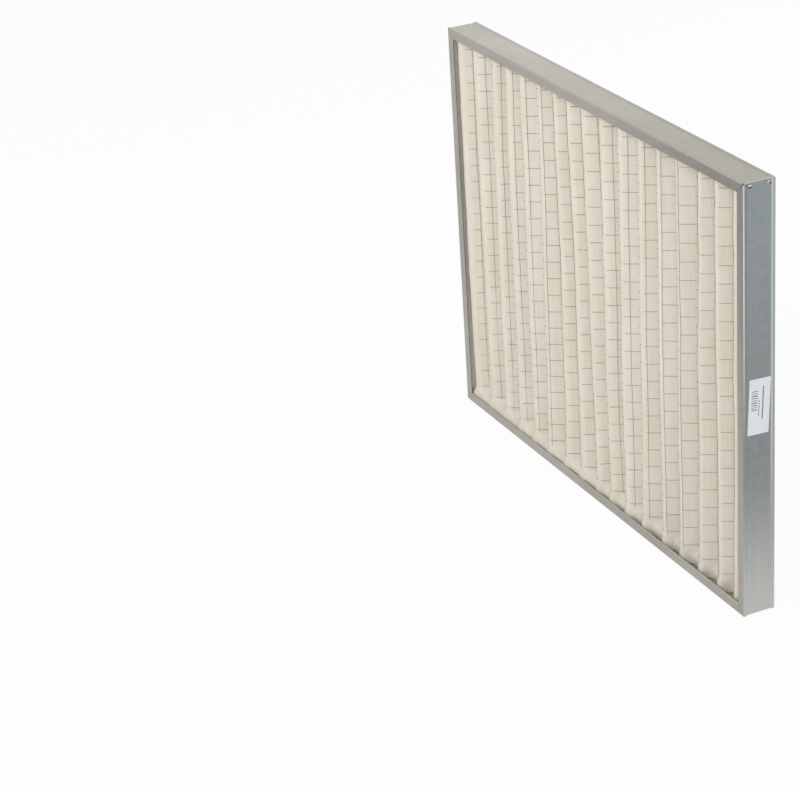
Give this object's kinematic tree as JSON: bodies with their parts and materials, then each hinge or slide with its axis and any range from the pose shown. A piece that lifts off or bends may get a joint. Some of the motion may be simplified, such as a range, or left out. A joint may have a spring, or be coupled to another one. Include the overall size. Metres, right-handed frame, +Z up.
{
  "type": "pleated panel air filter",
  "caption": "Flat rectangular engine air filter panel: pleated cream fibre media with a wire mesh over its folds, in a galvanised steel channel frame.",
  "frame": {"origin": "middle of the bottom edge of the frame, at floor level, halfway between the front and back faces", "axes": "+X across the pleats to the side with the label, +Y from the front face with the mesh to the back face, +Z up along the pleats"},
  "size_m": [0.782, 0.0466, 0.594],
  "materials": {
    "galvanised": "galvanised sheet steel, satin, fine spangle",
    "media": "cream non-woven synthetic fibre",
    "mesh_wire": "dull galvanised welded wire",
    "label": "plain matt white paper label"
  },
  "bodies": {
    "root": {"cross_wire_01": "mesh_wire", "cross_wire_02": "mesh_wire", "cross_wire_03": "mesh_wire", "cross_wire_04": "mesh_wire", "cross_wire_05": "mesh_wire", "cross_wire_06": "mesh_wire", "cross_wire_07": "mesh_wire", "cross_wire_08": "mesh_wire", "cross_wire_09": "mesh_wire", "cross_wire_10": "mesh_wire", "cross_wire_11": "mesh_wire", "cross_wire_12": "mesh_wire", "cross_wire_13": "mesh_wire", "cross_wire_14": "mesh_wire", "cross_wire_15": "mesh_wire", "cross_wire_16": "mesh_wire", "cross_wire_17": "mesh_wire", "cross_wire_18": "mesh_wire", "cross_wire_19": "mesh_wire", "cross_wire_20": "mesh_wire", "cross_wire_21": "mesh_wire", "cross_wire_22": "mesh_wire", "fold_wires_01": "mesh_wire", "fold_wires_02": "mesh_wire", "fold_wires_03": "mesh_wire", "fold_wires_04": "mesh_wire", "fold_wires_05": "mesh_wire", "fold_wires_06": "mesh_wire", "fold_wires_07": "mesh_wire", "fold_wires_08": "mesh_wire", "fold_wires_09": "mesh_wire", "fold_wires_10": "mesh_wire", "fold_wires_11": "mesh_wire", "fold_wires_12": "mesh_wire", "fold_wires_13": "mesh_wire", "fold_wires_14": "mesh_wire", "fold_wires_15": "mesh_wire", "fold_wires_16": "mesh_wire", "fold_wires_17": "mesh_wire", "frame_channel": "galvanised", "pleated_media": "media", "side_label": "label"}
  },
  "joints": []
}
